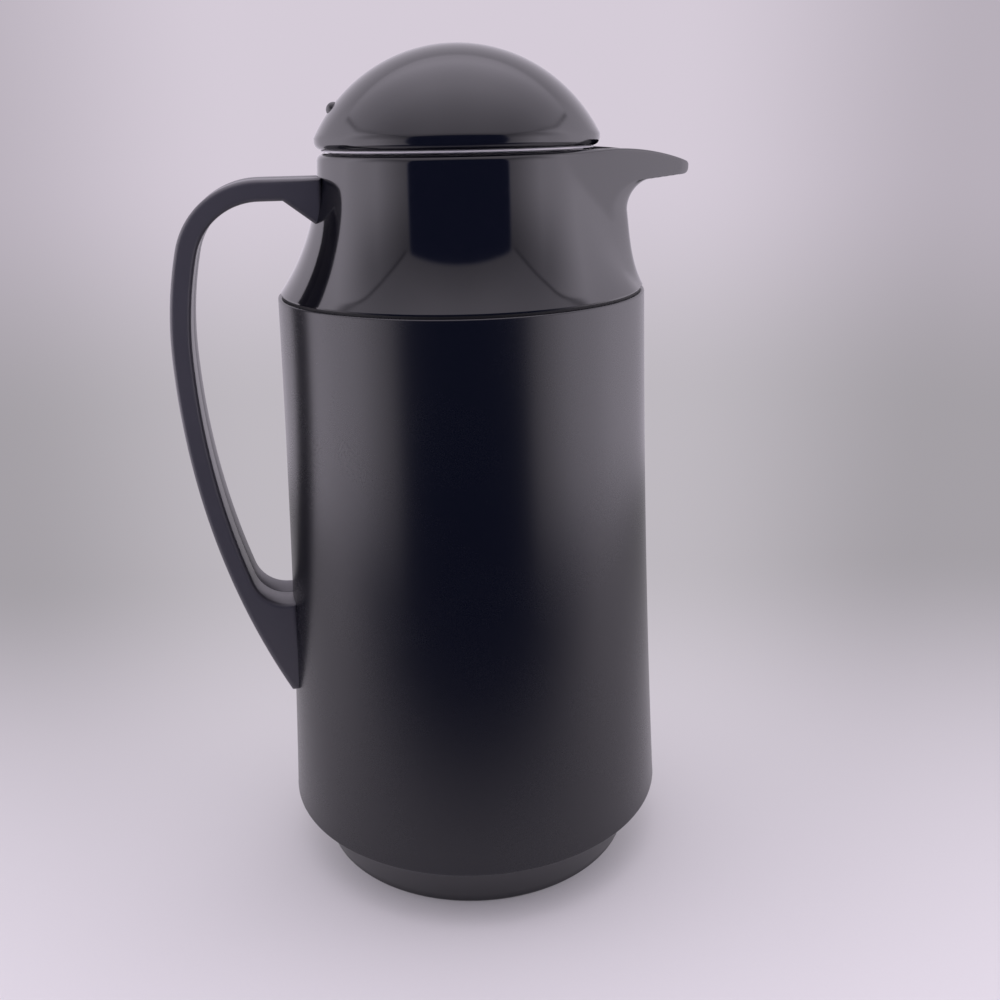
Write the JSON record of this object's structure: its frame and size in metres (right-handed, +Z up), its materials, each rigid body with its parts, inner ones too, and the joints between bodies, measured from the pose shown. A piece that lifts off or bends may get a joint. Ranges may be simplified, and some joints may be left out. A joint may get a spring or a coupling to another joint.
{
  "type": "thermal carafe",
  "caption": "Tall black thermal carafe with a glass liner, a spouted collar, a side handle and a domed screw-in stopper lid.",
  "frame": {"origin": "on the carafe's axis, on the surface that its base stands on", "axes": "+Z up along the carafe's axis, +X towards the spout, -X towards the handle, +Y to the rear when the spout points right"},
  "size_m": [0.179, 0.142, 0.29],
  "materials": {
    "satin_black": "satin moulded plastic",
    "gloss_black": "polished moulded plastic",
    "black_rubber": "matt rubber",
    "pale_seal": "smooth silicone",
    "white_foam": "rigid closed-cell foam",
    "silvered_glass": "silvered glass",
    "spacer_fibre": "pressed fibre",
    "screw_steel": "zinc-plated"
  },
  "bodies": {
    "carafe_body": {"body_shell": "satin_black", "base_cap": "satin_black", "collar": "gloss_black", "collar_joint_ring": "black_rubber", "handle_front_half": "satin_black", "handle_rear_half": "satin_black", "handle_upper_screws": "screw_steel", "handle_lower_screws": "screw_steel", "liner_outer_wall": "silvered_glass", "liner_inner_wall": "silvered_glass", "liner_spacer_pads": "spacer_fibre", "neck_gasket": "black_rubber", "liner_cushion": "black_rubber"},
    "lid_riser": {"stopper_seal": "pale_seal"},
    "lid": {"lid_dome": "gloss_black", "lid_foam": "white_foam", "lid_plate": "satin_black", "lid_rim_seal": "pale_seal", "stopper_body": "satin_black", "stopper_foam": "white_foam", "stopper_nose": "satin_black", "lid_screw": "screw_steel"}
  },
  "joints": [
    {"name": "lid_rise", "type": "slide", "parent": "carafe_body", "child": "lid_riser", "axis": [0, 0, 1], "range_m": [0, 0.0451]},
    {"name": "lid_turn", "type": "hinge", "parent": "lid_riser", "child": "lid", "pos_m": [0, 0, 0.245], "axis": [0, 0, 1], "range_deg": [0, 900]}
  ],
  "couplings": [
    {"joint": "lid_rise", "follows": "lid_turn", "m_per_rad": 0.0028648}
  ]
}
